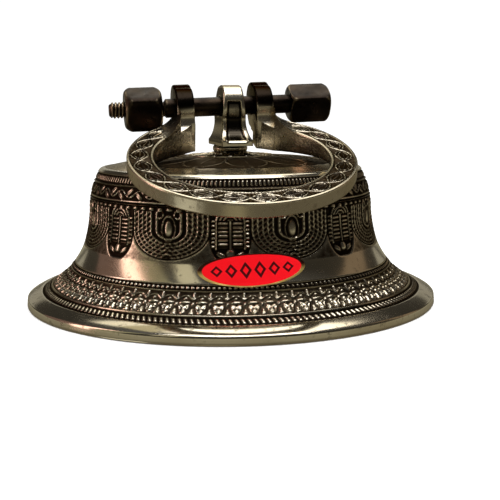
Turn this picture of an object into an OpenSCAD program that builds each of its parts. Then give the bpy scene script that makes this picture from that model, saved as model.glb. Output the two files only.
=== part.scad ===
// Brass puja bell: flared bell, crown lug with a cross bolt, folding hanging ring, clapper.
// Millimetres. The origin is the centre of the rim's bottom plane and +Z runs up the bell's
// axis. X runs along the cross bolt, which droops a little towards its nut at -X, and the ring
// lies folded forward, towards -Y.

/* [Bell] */
// Outer diameter of the mouth
rim_d = 150; // [148:0.5:152]
// Height of the plain side band of the rim
rim_h = 3.1; // [2.4:0.1:3.6]
// Width of the polished bevel above the rim, measured along the radius
bevel_w = 5.1; // [4:0.1:6]
// Height at which the flare begins, on top of the bevel
flare_z = 5.4; // [4.8:0.1:6]
// Radius at which the flare meets the wall
cove_r = 54.3; // [53.5:0.1:55]
// Height at which the flare meets the wall
cove_z = 21; // [20:0.5:22]
// Radius of the wall at its waist
waist_r = 51.7; // [51:0.1:52.4]
// Height of the waist
waist_z = 34; // [32:0.5:36]
// Radius of the shoulder, just below the crown
shoulder_r = 48.1; // [47.8:0.1:48.4]
// Height of the crown's edge
crown_z = 48.9; // [48.7:0.1:49]
// Rise of the domed crown from its edge to the lotus
crown_rise = 3.7; // [3:0.1:3.8]
// Thickness of the bell's wall
wall_t = 3.2; // [2.6:0.1:3.4]

/* [Crown lug] */
// Height of the cross bolt's axis
bolt_z = 70.5; // [70.2:0.1:71.5]
// Height of the lug's rounded top
lug_top_z = 77.9; // [77.5:0.1:78.3]
// Depth of the lug's foot, front to back
foot_d = 28; // [26:0.5:30]
// Width of the lug at its foot
foot_w = 11.4; // [10:0.1:11.6]
// Width of the lug at its top
lug_top_w = 7; // [6:0.1:7]
// Radius of the lotus where it sits on the crown
lotus_r = 15.4; // [14:0.1:16]
// Height of the lotus above the dome
lotus_h = 1.4; // [1.2:0.1:1.6]
// Diameter of the stud that clamps the lug to the crown
stud_d = 8; // [7:0.5:9]

/* [Hanging ring] */
// Outer radius of the ring
ring_r = 38.2; // [37.8:0.1:38.4]
// Inner radius of the ring
ring_in_r = 29.3; // [29:0.1:29.8]
// Thickness of the ring at its outer side
ring_t = 4.9; // [4:0.1:4.9]
// Thickness of the ring at its inner side
ring_in_t = 3.8; // [3:0.1:3.8]
// Thickness of the ring's inner half where it meets the ears
heel_t = 9; // [7:0.1:9]
// Distance from the ring's centre back to the bolt's axis
ring_reach = 37.2; // [37:0.1:37.6]
// Height of the bolt's axis above the ring's top face
ring_drop = 4; // [3.8:0.1:4.2]
// Angle at which the folded ring slopes down to the front
ring_tilt = 19; // [18:0.2:19]
// Clear gap between the two ears
ear_gap = 22.4; // [22:0.2:24]
// Thickness of each ear
ear_t = 6.3; // [5.5:0.1:6.5]
// Sideways play taken up towards the nut
ring_shift = -3.1; // [-3.2:0.1:-2]

/* [Cross bolt] */
// Diameter of the bolt's shank
shank_d = 6.8; // [6.4:0.1:7.2]
// Outer diameter of the bolt's thread
thread_d = 5.8; // [5.6:0.1:6]
// Angle at which the bolt droops towards its nut, in its loose bore
bolt_slope = 1.8; // [1.4:0.1:2]
// Side of the square head
head_side = 11; // [10:0.5:12]
// Side of the square nut
nut_side = 13.2; // [12:0.2:14]

/* [Clapper] */
// Radius of the clapper's ball
ball_r = 7.5; // [7:0.1:7.5]
// Distance from the stud's eye to the centre of the ball
clapper_l = 53; // [52:0.5:53]
// Diameter of the clapper's rod
rod_d = 4.2; // [3.6:0.2:5]
// Wire diameter of the clapper's link
link_wire_d = 3; // [2.6:0.1:3]

/* [Label] */
// Width of the oval label
label_w = 34.7; // [30:0.5:36]
// Height of the oval label
label_h = 9.8; // [9:0.2:11]
// Turn of the label round the bell, away from the front
label_turn = -4.2; // [-15:0.5:15]
// Angle at which the label slopes up to the right
label_slope = 2; // [-8:0.5:8]

/* [Hidden] */
$fn = 96;
eps = 0.01;

// Clearance on the radius of the bolt's bores, in the ears and in the lug
run_gap = 0.05;
loose_gap = 0.28;
rim_r = rim_d / 2;
crown_t = 3.4;
crown_under_z = crown_z - crown_t;
dome_z = crown_z + crown_rise;

// Fastening under the crown
washer_t = 1.5;
washer_d = 18;
stud_nut_t = 5.2;
stud_nut_side = 13;
stud_nut_z = crown_under_z - washer_t - stud_nut_t;

// The eye at the stud's lower end, and the link that hangs in it
eye_z = 34;
eye_r = 2.2;
eye_wall = 1.8;
eye_t = 3;
link_r = 5.5;

// The clapper leans back until its ball stands on the rim's plane
floor_gap = 0.05;
lean = acos((eye_z - ball_r - floor_gap) / clapper_l);

// Ends of the head, the nut and the thread along X
head_x = [22, 37];
nut_x = [-38.3, -25.2];
thread_end_x = -43.8;
thread_start_x = -24;
head_turn = 33;
nut_turn = 25;

label_t = 0.3;
label_z = 19.6;

// Raised lines round the wall, as [height, radius of the half-round bead]
wall_lines = [[6.6, 0.8], [14.6, 0.7], [39.2, 0.4], [44.5, 0.4], [46.6, 0.7]];
label_line = wall_lines[1];

// Points of a circular arc from p to q that bulges to the left by s, in n steps
function arc(p, q, s, n = 12) =
    let (c = norm(q - p),
         r = (c * c / 4 + s * s) / (2 * abs(s)),
         left = [p.y - q.y, q.x - p.x] / c,
         m = (p + q) / 2 + left * (s - sign(s) * r),
         a = atan2(p.y - m.y, p.x - m.x),
         d = atan2(q.y - m.y, q.x - m.x) - a,
         turn = d > 180 ? d - 360 : d < -180 ? d + 360 : d)
    [for (i = [0:n]) m + r * [cos(a + turn * i / n), sin(a + turn * i / n)]];

// An outline moved sideways by t, to the left of its own direction
function beside(p, t) =
    [for (i = [0:len(p) - 1])
        let (a = p[max(i - 1, 0)], b = p[min(i + 1, len(p) - 1)], d = (b - a) / norm(b - a))
        p[i] + t * [-d.y, d.x]];

function reversed(p) = [for (i = [len(p) - 1:-1:0]) p[i]];
function mirrored(p) = concat(p, [for (q = reversed(p)) [-q.x, q.y]]);

// The bell's wall from the top of the bevel to the shoulder, as [radius, height]
flare = arc([rim_r - bevel_w, flare_z], [cove_r, cove_z], 2.1, 12);
waist = arc([cove_r, cove_z], [waist_r, waist_z], 0.45, 5);
shoulder = arc([waist_r, waist_z], [shoulder_r, crown_z - 1.1], -0.95, 8);
crown_edge = arc([shoulder_r, crown_z - 1.1], [shoulder_r - 1.9, crown_z], -0.4, 4);
dome = arc([shoulder_r - 1.9, crown_z], [lotus_r, dome_z], -0.8, 10);
wall = concat(flare, [for (i = [1:len(waist) - 1]) waist[i]],
              [for (i = [1:len(shoulder) - 1]) shoulder[i]]);
inner_wall = [for (p = beside(wall, wall_t)) if (p.y < crown_under_z - 1.2) p];
inner_top = inner_wall[len(inner_wall) - 1];

function wall_radius(z) = lookup(z, [for (p = wall) [p.y, p.x]]);

// A shape drawn as [depth, height], extruded to a width along X
module across(width) {
    rotate([90, 0, 90]) linear_extrude(width, center = true) children();
}

module bore_along_x(r, length) {
    rotate([0, 90, 0]) cylinder(r = r, h = length, center = true);
}

// A half-round bead that runs round the wall
module wall_line(z, r) {
    rotate_extrude() translate([wall_radius(z), z]) circle(r, $fn = 24);
}

module bell_shell() color("darkgoldenrod") {
    rim = [[rim_r - 5.6, 0], [rim_r - 0.7, 0], [rim_r, 0.7], [rim_r - 0.2, rim_h]];
    rotate_extrude() polygon(concat(
        rim, wall, [for (i = [1:len(crown_edge) - 1]) crown_edge[i]],
        [for (i = [1:len(dome) - 1]) dome[i]],
        [[stud_d / 2 + 0.1, dome_z], [stud_d / 2 + 0.1, crown_under_z],
         [inner_top.x - 1.2, crown_under_z]],
        reversed(inner_wall)));
    for (line = wall_lines) wall_line(line[0], line[1]);
}

// Half of the lug seen from the side: foot, hollow neck and rounded eye
function lug_side(foot_z) =
    concat([[foot_d / 2, foot_z]],
           arc([foot_d / 2, foot_z + 2], [8.2, bolt_z - 4.3], 1.9, 10),
           arc([8.2, bolt_z - 4.3], [6, lug_top_z - 1.4], -1.5, 8),
           arc([6, lug_top_z - 1.4], [0, lug_top_z], -0.6, 5));

module lug_plate(foot_z) {
    front = mirrored(concat(
        [[foot_w / 2, foot_z - 1]],
        arc([foot_w / 2, foot_z + 2], [lug_top_w / 2 + 0.9, bolt_z - 4], 0.4, 5),
        [[lug_top_w / 2, lug_top_z - 0.6], [lug_top_w / 2 - 0.6, lug_top_z + 1]]));
    intersection() {
        across(foot_w + 2) polygon(mirrored(lug_side(foot_z)));
        rotate([90, 0, 0]) linear_extrude(foot_d + 2, center = true) polygon(front);
    }
}

module lotus(collar_top) {
    neck_r = 6.2;
    edge_t = 0.5;
    rotate_extrude() polygon(concat(
        [[0, dome_z], [lotus_r, dome_z]],
        arc([lotus_r, dome_z + edge_t], [neck_r, dome_z + lotus_h], 0.25, 10),
        [[neck_r - 0.2, collar_top], [0, collar_top]]));
}

module crown_lug() color("goldenrod") {
    foot_z = crown_z + 7.5;
    tongue_w = 2 * (eye_r + eye_wall);
    difference() {
        union() {
            lug_plate(foot_z);
            lotus(foot_z + 0.5);
            translate([0, 0, stud_nut_z - 1]) cylinder(d = stud_d, h = dome_z - stud_nut_z + 2);
            translate([0, 0, (eye_z + stud_nut_z) / 2])
                cube([eye_t, tongue_w, stud_nut_z - eye_z + eps], center = true);
            translate([0, 0, eye_z]) bore_along_x(eye_r + eye_wall, eye_t);
        }
        translate([0, 0, bolt_z]) bore_along_x(shank_d / 2 + loose_gap, foot_w + 4);
        translate([0, 0, eye_z]) bore_along_x(eye_r, eye_t + 2);
    }
}

module crown_washer() color("silver") {
    translate([0, 0, crown_under_z - washer_t]) difference() {
        cylinder(d = washer_d, h = washer_t);
        translate([0, 0, -1]) cylinder(d = stud_d + 0.4, h = washer_t + 2);
    }
}

module crown_nut() color("dimgray") {
    translate([0, 0, stud_nut_z]) difference() {
        translate([0, 0, stud_nut_t / 2])
            cube([stud_nut_side, stud_nut_side, stud_nut_t], center = true);
        translate([0, 0, -1]) cylinder(d = stud_d, h = stud_nut_t + 2);
    }
}

// Puts a shape drawn along X through the origin onto the drooping bolt
module on_bolt() {
    translate([0, 0, bolt_z]) rotate([0, -bolt_slope, 0]) children();
}

// One ear seen from the side, as [distance behind the ring's centre, height over its top face]
function ear_side() =
    let (half = 9.3, top = 7.5)
    concat(arc([ring_reach - half - 5, -0.5], [ring_reach - half, ring_drop], -1, 6),
           arc([ring_reach - half, ring_drop + 1], [ring_reach, ring_drop + top], 2.6, 8),
           arc([ring_reach, ring_drop + top], [ring_reach + half, ring_drop + 1], 2.6, 8),
           arc([ring_reach + half, ring_drop + 1], [ring_reach + 3, -ring_t], 1.6, 8),
           [[ring_reach - half, -ring_t], [ring_reach - half - 5, -ring_in_t]]);

// The hollow ramp from an ear's outer face down to the ring's top face
module ear_ramp() {
    ramp_r = 7;
    x0 = ear_gap / 2 + ear_t - 0.5;
    intersection() {
        rotate([90, 0, 0]) linear_extrude(2 * ring_r, center = true) polygon(concat(
            arc([x0, ramp_r], [x0 + ramp_r, -eps], -2.05, 8),
            [[x0 + ramp_r, -1], [x0, -1]]));
        translate([0, ring_r / 2, 0]) cube([2 * ring_r, ring_r, 40], center = true);
        translate([0, 0, -2]) cylinder(r = ring_r, h = ramp_r + 3);
    }
}

// The heels that deepen the inner half of the ring towards the ears
module ring_heels() {
    heel_w = 5.7;
    start_y = -6;
    full_y = 24;
    intersection() {
        translate([0, 0, -heel_t - 1]) cylinder(r = ring_in_r + heel_w, h = heel_t);
        across(2 * ring_r) polygon([
            [start_y, 1 - ring_in_t], [ring_r, 1 - ring_in_t], [ring_r, -heel_t],
            [full_y, -heel_t]]);
    }
}

module hanging_ring() color("khaki") {
    bevel = 0.4;
    on_bolt() translate([ring_shift, 0, 0]) rotate([ring_tilt, 0, 0])
    translate([0, -ring_reach, -ring_drop]) difference() {
        union() {
            difference() {
                rotate_extrude() polygon([
                    [ring_in_r, -bevel], [ring_in_r + bevel, 0], [ring_r - bevel, 0],
                    [ring_r, -bevel], [ring_r, bevel - ring_t], [ring_r - bevel, -ring_t],
                    [ring_r - 3, -ring_t], [ring_in_r, -ring_in_t]]);
                translate([-ear_gap / 2, 0, -ring_t - 1]) cube([ear_gap, ring_r + 1, ring_t + 2]);
            }
            difference() {
                ring_heels();
                translate([-ear_gap / 2, 0, -heel_t - 2]) cube([ear_gap, ring_r + 1, heel_t + 3]);
            }
            for (side = [-1, 1]) {
                translate([side * (ear_gap + ear_t) / 2, 0, 0]) across(ear_t) polygon(ear_side());
                scale([side, 1, 1]) ear_ramp();
            }
        }
        translate([0, 0, -heel_t - 2]) cylinder(r = ring_in_r, h = 40);
        translate([0, ring_reach, ring_drop])
            bore_along_x(shank_d / 2 + run_gap, ear_gap + 2 * ear_t + 4);
    }
}

// A square bar along the bolt from x[0] to x[1], with its corners and its ends turned off
module square_bar(x, side, turn, corner_cut, chamfer) {
    corner_r = side / sqrt(2) - corner_cut;
    length = x[1] - x[0];
    translate([x[0], 0, 0]) rotate([0, 90, 0]) intersection() {
        rotate([0, 0, turn]) translate([-side / 2, -side / 2, 0]) cube([side, side, length]);
        rotate_extrude() polygon([
            [0, 0], [corner_r - chamfer, 0], [corner_r, chamfer],
            [corner_r, length - chamfer], [corner_r - chamfer, length], [0, length]]);
    }
}

module pivot_bolt() color("saddlebrown") {
    tip = 1;
    on_bolt() square_bar(head_x, head_side, head_turn, 0.4, 1.6);
    on_bolt() translate([thread_end_x, 0, 0]) rotate([0, 90, 0]) rotate_extrude() polygon([
        [0, 0], [thread_d / 2 - tip, 0], [thread_d / 2, tip],
        [thread_d / 2, thread_start_x - thread_end_x],
        [shank_d / 2, thread_start_x - thread_end_x + 0.5],
        [shank_d / 2, head_x[0] - thread_end_x + eps], [0, head_x[0] - thread_end_x + eps]]);
}

module square_nut() color("saddlebrown") {
    on_bolt() difference() {
        square_bar(nut_x, nut_side, nut_turn, 1, 2.2);
        translate([(nut_x[0] + nut_x[1]) / 2, 0, 0])
            bore_along_x(thread_d / 2, nut_x[1] - nut_x[0] + 2);
    }
}

// Puts a shape drawn hanging straight down from the stud's eye into the leaning place
module hung() {
    translate([0, 0, eye_z]) rotate([lean, 0, 0]) children();
}

module clapper_link() color("peru") {
    hung() translate([0, 0, -link_r]) rotate([90, 0, 0])
        rotate_extrude() translate([link_r, 0]) circle(link_wire_d / 2, $fn = 32);
}

module clapper_rod() color("peru") {
    head_z = -2 * link_r;
    hung() difference() {
        union() {
            translate([0, 0, head_z]) bore_along_x(eye_r + eye_wall, eye_t);
            translate([0, 0, -clapper_l]) cylinder(d = rod_d, h = clapper_l + head_z - eye_r - 0.6);
        }
        translate([0, 0, head_z]) bore_along_x(eye_r, rod_d + 2);
    }
}

module clapper_ball() color("darkgoldenrod") {
    tail_r = 1.6;
    hung() translate([0, 0, -clapper_l]) difference() {
        union() {
            sphere(ball_r);
            translate([0, 0, -ball_r - 1.6]) cylinder(r = tail_r, h = 3);
            translate([0, 0, -ball_r - 1.6]) sphere(tail_r);
        }
        cylinder(d = rod_d, h = ball_r + 1);
    }
}

module label_sticker() color("red") {
    steps = 48;
    oval = [for (i = [0:steps - 1])
        [label_w / 2 * cos(360 * i / steps), label_h / 2 * sin(360 * i / steps)]];
    around = beside(wall, -label_t);
    line_gap = 0.05;
    difference() {
        intersection() {
            rotate_extrude() polygon(concat(wall, reversed(around)));
            rotate([0, 0, label_turn]) translate([0, 0, label_z]) rotate([90, -label_slope, 0])
                linear_extrude(rim_r) polygon(oval);
        }
        wall_line(label_line[0], label_line[1] + line_gap);
    }
}

bell_shell();
crown_lug();
crown_washer();
crown_nut();
hanging_ring();
pivot_bolt();
square_nut();
clapper_link();
clapper_rod();
clapper_ball();
label_sticker();
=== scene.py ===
"""The looks of a brass puja bell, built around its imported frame.

Outlines are in millimetres in the part's own frame: +Z up the bell's axis, the cross bolt along X
and the front towards -Y. mesh_of turns them into metres. The driving sizes repeat part.scad's.
"""
import math

import bpy
import numpy as np
from mathutils import Matrix, Vector


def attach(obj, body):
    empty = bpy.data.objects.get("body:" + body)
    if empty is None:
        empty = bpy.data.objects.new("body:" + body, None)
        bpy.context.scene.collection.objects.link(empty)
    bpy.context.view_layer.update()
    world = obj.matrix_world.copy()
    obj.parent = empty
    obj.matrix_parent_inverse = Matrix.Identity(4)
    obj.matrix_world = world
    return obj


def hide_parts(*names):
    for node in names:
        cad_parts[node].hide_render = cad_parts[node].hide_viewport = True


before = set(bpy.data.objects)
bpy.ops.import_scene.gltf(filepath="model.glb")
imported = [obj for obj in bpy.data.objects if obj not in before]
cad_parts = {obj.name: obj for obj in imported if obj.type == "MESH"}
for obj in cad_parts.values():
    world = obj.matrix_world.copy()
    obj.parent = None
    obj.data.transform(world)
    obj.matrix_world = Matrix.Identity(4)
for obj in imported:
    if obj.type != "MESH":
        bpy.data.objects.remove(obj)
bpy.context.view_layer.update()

MM = 0.001
TAU = 2 * math.pi

# Bell
RIM_R, RIM_H, BEVEL_W, FLARE_Z = 75, 3.1, 5.1, 5.4
COVE_R, COVE_Z, WAIST_R, WAIST_Z = 54.3, 21, 51.7, 34
SHOULDER_R, CROWN_Z, CROWN_RISE, WALL_T, CROWN_T = 48.1, 48.9, 3.7, 3.2, 3.4
CROWN_R = SHOULDER_R - 1.9
DOME_Z = CROWN_Z + CROWN_RISE
CROWN_UNDER_Z = CROWN_Z - CROWN_T

# Ornament: how many repeats go round, how deep it is, and the bands of height that it fills
BEADS, FRIEZE_PETALS, GARLANDS, SCALLOPS, VINE_WAVES = 216, 72, 8, 96, 36
CROWN_PETALS, LOTUS_PETALS, LOTUS_BUDS, RING_OVALS = 12, 16, 20, 22
LOW_DEPTH, HIGH_DEPTH, CROWN_DEPTH, LOTUS_DEPTH, RING_DEPTH = 0.5, 0.42, 0.3, 0.42, 0.34
FRIEZE_BAND, GARLAND_BAND, VINE_BAND, TEETH_BAND = (7.75, 13.3), (21.5, 38.4), (40.2, 44.2), (45.6, 47.3)
LOW_GROUND, COVE_BAND, SWAG_GROUND, TOP_GROUND = (5.5, 15.5), (15.6, 21.2), (21.2, 38.6), (38.6, 48)
FRIEZE_Z, LOW_LINE_Z, TEETH_TOP_Z = 7.6, 15.35, 47.6
GARLAND_R, COLUMN_EDGE, COLUMN_TURN, LEAF_LEAN = 52.3, (6.2, 6.6), math.radians(-11.5), math.radians(38)
COLUMNS = 5 * BEADS  # points round the bell
ROW_STEP = 0.3  # spacing of the points up its ornament

# Crown lug
BOLT_Z, LUG_TOP_Z, FOOT_Z = 70.5, 77.9, 56.4
FOOT_D, FOOT_W, LUG_TOP_W, BORE_R = 28, 11.4, 7, 3.68
LOTUS_R, LOTUS_H, NECK_R, STUD_R = 15.4, 1.4, 6.2, 4

# Hanging ring
RING_R, RING_IN_R, RING_T, RING_IN_T = 38.2, 29.3, 4.9, 3.8
HEEL_T, HEEL_W, HEEL_START, HEEL_FULL = 9, 5.7, -6, 24
RING_REACH, RING_DROP, RING_TILT, RING_SHIFT = 37.2, 4, 19, -3.1
EAR_GAP, EAR_T, EAR_HALF, EAR_TOP, EAR_BORE_R, RAMP_R = 22.4, 6.3, 9.3, 7.5, 3.45, 7

# Cross bolt
SHANK_R, THREAD_R, THREAD_ROOT_R, PITCH, BOLT_SLOPE = 3.4, 2.9, 2.35, 1.25, 1.8
HEAD_SIDE, NUT_SIDE, HEAD_TURN, NUT_TURN = 11, 13.2, 33, 25
HEAD_X, NUT_X, THREAD_X = (22, 37), (-38.3, -25.2), (-43.8, -24)

# Clapper, washer and nut under the crown
EYE_Z, EYE_R, EYE_WALL, EYE_T = 34, 2.2, 1.8, 3
LINK_R, WIRE_R, ROD_R, CLAPPER_L, BALL_R, TAIL_R = 5.5, 1.5, 2.1, 53, 7.5, 1.6
WASHER_R, WASHER_T, STUD_NUT_SIDE, STUD_NUT_T = 9, 1.5, 13, 5.2
STUD_NUT_Z = CROWN_UNDER_Z - WASHER_T - STUD_NUT_T
LEAN = math.degrees(math.acos((EYE_Z - BALL_R - 0.05) / CLAPPER_L))

# Label
LABEL_W, LABEL_H, LABEL_Z, LABEL_T, LABEL_TURN, LABEL_SLOPE = 34.7, 9.8, 19.6, 0.3, -4.2, 2

# Camera and studio, in metres and degrees
CAMERA_AZIMUTH, CAMERA_ELEVATION, CAMERA_DISTANCE = -12.5, 9.15, 0.3375
CAMERA_AIM, CAMERA_ROLL = Vector((0.0069, -0.0015, 0.0171)), 0.4
CAMERA_LENS, CAMERA_SENSOR = 64.8, 36  # in the camera's own millimetres
STUDIO_CENTRE = Vector((0, 0, 0.03))
FLOOR_SIZE, BACKDROP_R = 12, 6

# Metals
PALE_BRASS = (0.82, 0.75, 0.60)
WARM_BRASS = (0.62, 0.50, 0.33)
DULL_BRASS = (0.36, 0.27, 0.15)
# the black of patina in recesses, also used as painted shade
PATINA_AND_SHADE = (0.014, 0.010, 0.007)
TARNISH = (0.10, 0.074, 0.048)
DARK_GRAZING = (0.45, 0.414, 0.36)  # tint of a darkened metal's reflections at grazing angles


# ---------------- outlines

def circle(count):
    """Angles of count points round a circle."""
    return np.linspace(0, TAU, count, endpoint=False)


def arc(p, q, bulge, steps):
    """Points of a circular arc from p to q that bulges to the left by bulge."""
    p, q = np.array(p, float), np.array(q, float)
    chord = np.linalg.norm(q - p)
    radius = (chord**2 / 4 + bulge**2) / (2 * abs(bulge))
    left = np.array([p[1] - q[1], q[0] - p[0]]) / chord
    middle = (p + q) / 2 + left * (bulge - math.copysign(radius, bulge))
    start = math.atan2(p[1] - middle[1], p[0] - middle[0])
    turn = math.atan2(q[1] - middle[1], q[0] - middle[0]) - start
    turn = (turn + math.pi) % TAU - math.pi
    angles = start + turn * np.linspace(0, 1, steps + 1)
    return middle + radius * np.column_stack([np.cos(angles), np.sin(angles)])


def joined(*parts):
    """One outline from several, without the points that two of them share."""
    points = np.vstack([np.array(p, float).reshape(-1, 2) for p in parts])
    keep = np.r_[True, np.linalg.norm(np.diff(points, axis=0), axis=1) > 1e-6]
    return points[keep]


def lengths(points):
    """The distance along an outline to each of its points."""
    return np.r_[0, np.cumsum(np.linalg.norm(np.diff(points, axis=0), axis=1))]


def resampled(points, at):
    """The outline's points at the given distances along it."""
    return np.column_stack([np.interp(at, lengths(points), points[:, k]) for k in (0, 1)])


def spaced(points, step):
    """The outline with its points about step apart."""
    total = lengths(points)[-1]
    return resampled(points, np.linspace(0, total, max(2, int(round(total / step)) + 1)))


def normals(points, closed=False):
    """Unit normals to the right of an outline's direction."""
    if closed:
        along = np.roll(points, -1, 0) - np.roll(points, 1, 0)
    else:
        along = np.gradient(points, axis=0)
    along /= np.linalg.norm(along, axis=1)[:, None]
    return np.column_stack([along[:, 1], -along[:, 0]])


def rounded(points, radii, steps=5):
    """A closed outline with each corner rounded by its own radius."""
    points = np.array(points, float)
    made = []
    for i, radius in enumerate(radii):
        corner, before, after = points[i], points[i - 1], points[(i + 1) % len(points)]
        a, b = before - corner, after - corner
        a_len, b_len = np.linalg.norm(a), np.linalg.norm(b)
        half = math.acos(np.clip(a @ b / (a_len * b_len), -1, 1)) / 2
        cut = min(radius / max(math.tan(half), 1e-3), a_len * 0.45, b_len * 0.45)
        start, end = corner + a / a_len * cut, corner + b / b_len * cut
        for t in np.linspace(0, 1, steps if radius > 0 else 1):
            made.append((1 - t) ** 2 * start + 2 * t * (1 - t) * corner + t * t * end)
    return np.array(made)


# ---------------- solids

def grid_faces(rows, columns, close_rows):
    """Quads of a grid of points whose columns run round and close on themselves."""
    i = np.arange(rows if close_rows else rows - 1)[:, None]
    j = np.arange(columns)[None, :]
    after, above = (j + 1) % columns, (i + 1) % rows
    corners = (i * columns + j, i * columns + after, above * columns + after, above * columns + j)
    return np.stack(np.broadcast_arrays(*corners), -1).reshape(-1, 4)


def stacked(sections, close_rows=False):
    """A closed solid, (points, faces), from a stack of sections, (rows, columns, 3). Its ends are
    closed by fans unless the stack closes on itself."""
    rows, columns = sections.shape[:2]
    points = sections.reshape(-1, 3)
    faces = grid_faces(rows, columns, close_rows).tolist()
    if not close_rows:
        first, last = len(points), len(points) + 1
        points = np.vstack([points, sections[0].mean(0), sections[-1].mean(0)])
        top = (rows - 1) * columns
        for j in range(columns):
            after = (j + 1) % columns
            faces.append([first, after, j])
            faces.append([last, top + j, top + after])
    if volume(points, faces) < 0:
        faces = [f[::-1] for f in faces]
    return points, faces


def volume(points, faces):
    """Signed volume inside a closed solid's faces."""
    total = 0.0
    for size in (3, 4):
        f = np.array([x for x in faces if len(x) == size])
        for k in range(1, size - 1):
            if len(f):
                a, b, c = points[f[:, 0]], points[f[:, k]], points[f[:, k + 1]]
                total += float((a * np.cross(b, c)).sum())
    return total / 6


def swept(r, z, angle):
    """Points at radius r and height z at each angle round Z."""
    return np.stack(np.broadcast_arrays(r * np.cos(angle), r * np.sin(angle), z), -1)


def turned(outline, columns, close_rows=False):
    """A solid of revolution round Z from an outline of [radius, height]."""
    return stacked(swept(outline[:, :1], outline[:, 1:], circle(columns)), close_rows)


def cylinder(radius, z0, z1, columns=360):
    return turned(np.array([[radius, z0], [radius, z1]]), columns)


def plate(outline, x0, x1, edge=0.6, steps=4):
    """An outline of [y, z] extruded from x0 to x1, with rounded edges."""
    inward = -normals(outline, closed=True)
    area = np.cross(outline, np.roll(outline, -1, 0)).sum()
    inward *= math.copysign(1, area)
    sections = []
    for x, side in ((x0, 1), (x1, -1)):
        rounds = np.linspace(0, math.pi / 2, steps + 1)
        for a in rounds if side > 0 else rounds[::-1]:
            flat = outline + inward * edge * (1 - math.sin(a))
            depth = x + side * edge * (1 - math.cos(a))
            sections.append(np.column_stack([np.full(len(flat), depth), flat]))
    return stacked(np.array(sections))


def placed(solid, matrix):
    """A solid moved by a 4 x 4 matrix."""
    m = np.array(matrix)
    return solid[0] @ m[:3, :3].T + m[:3, 3], solid[1]


def shift(x, y, z):
    return Matrix.Translation((x, y, z))


def turn(axis, degrees):
    return Matrix.Rotation(math.radians(degrees), 4, axis)


# ---------------- pieces

def linked(name, data):
    """A new object in the scene."""
    made = bpy.data.objects.new(name, data)
    bpy.context.scene.collection.objects.link(made)
    return made


def mesh_of(name, solid):
    mesh = bpy.data.meshes.new(name)
    mesh.from_pydata((solid[0] * MM).tolist(), [], solid[1])
    return mesh


def points_of(mesh):
    """A mesh's points, in millimetres."""
    at = np.zeros(len(mesh.vertices) * 3)
    mesh.vertices.foreach_get("co", at)
    return at.reshape(-1, 3) / MM


def solid_of(mesh):
    return points_of(mesh), [list(p.vertices) for p in mesh.polygons]


def move(mesh, place):
    """Moves a mesh by a matrix in millimetres."""
    mesh.transform(shift(*(MM * v for v in place.to_translation())) @ place.to_3x3().to_4x4())


def combined(name, first, others):
    """One mesh from a first solid and others, each an (operation, solid) pair in turn."""
    made = linked(name, mesh_of(name, first))
    for operation, solid in others:
        tool = linked("tool", mesh_of("tool", solid))
        cut = made.modifiers.new("cut", "BOOLEAN")
        cut.solver, cut.operation, cut.object = "MANIFOLD", operation, tool
        graph = bpy.context.evaluated_depsgraph_get()
        result = bpy.data.meshes.new_from_object(made.evaluated_get(graph))
        made.modifiers.clear()
        made.data = result
        bpy.data.objects.remove(tool)
    mesh = made.data
    bpy.data.objects.remove(made)
    return mesh


def add_attribute(mesh, name, values):
    attribute = mesh.attributes.new(name, "FLOAT", "POINT")
    attribute.data.foreach_set("value", np.asarray(values, np.float32).ravel())


def worn(mesh, reach, passes=3):
    """Wear at each vertex from the shape: 0.5 on flats, near 1 on edges and near 0 in corners."""
    n = len(mesh.vertices)
    at = points_of(mesh)
    facing = np.zeros(n * 3)
    mesh.vertex_normals.foreach_get("vector", facing)
    facing = facing.reshape(-1, 3)
    pairs = np.zeros(len(mesh.edges) * 2, int)
    mesh.edges.foreach_get("vertices", pairs)
    a, b = pairs.reshape(-1, 2).T
    a, b = np.r_[a, b], np.r_[b, a]
    bent = ((at[a] - at[b]) * facing[a]).sum(1)
    apart = ((at[a] - at[b]) ** 2).sum(1)
    count = np.maximum(np.bincount(a, minlength=n), 1)
    curve = np.bincount(a, bent, n) / np.maximum(np.bincount(a, apart, n), 1e-6) * 2
    for _ in range(passes):
        curve = 0.5 * curve + 0.5 * np.bincount(a, curve[b], n) / count
    return 0.5 + 0.5 * np.tanh(curve * reach)


def add_piece(name, mesh, body, materials, replaced, sharp=40, wear_and_shade=None, which=None):
    """A piece of the object from a finished mesh, with a value given for each vertex that holds wear
    and, on some pieces, painted shade and painted highlights; which gives each face's material by
    number."""
    mesh.name = name
    if wear_and_shade is not None:
        add_attribute(mesh, "wear_and_shade", wear_and_shade)
    mesh.materials.clear()
    for material in materials:
        mesh.materials.append(material)
    if which is not None:
        mesh.polygons.foreach_set("material_index", np.asarray(which, np.int32))
    mesh.shade_smooth()
    mesh.set_sharp_from_angle(angle=math.radians(sharp))
    piece = linked(name, mesh)
    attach(piece, body)
    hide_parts(*replaced)


# ---------------- relief

def smooth(x, low, high):
    """0 below low, 1 above high and a soft step between."""
    t = np.clip((x - low) / (high - low), 0, 1)
    return t * t * (3 - 2 * t)


def within(x, low, high, soft=0.12):
    return smooth(x, low - soft, low + soft) * (1 - smooth(x, high - soft, high + soft))


def ridge(distance, half_width):
    """A round ridge, 1 on its middle line and 0 at half_width from it."""
    return np.clip(1 - (distance / half_width) ** 2, 0, 1)


def repeat(value, period, offset=0.0):
    """Signed distance from the nearest of the middles that lie a period apart."""
    t = (value - offset) / period
    return (t - np.round(t)) * period


def share_of(around, count):
    """Where each angle lies in its own one of count repeats round Z, from -0.5 to 0.5."""
    return repeat(around, TAU / count) / TAU * count


def oval(x, z, half_w, half_h, lean=0.0):
    """A domed oval, leaned by an angle in degrees."""
    c, s = math.cos(math.radians(lean)), math.sin(math.radians(lean))
    return np.clip(1 - ((x * c + z * s) / half_w) ** 2 - ((z * c - x * s) / half_h) ** 2, 0, 1)


def highest(*shapes):
    made = shapes[0]
    for shape in shapes[1:]:
        made = np.maximum(made, shape)
    return made


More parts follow.
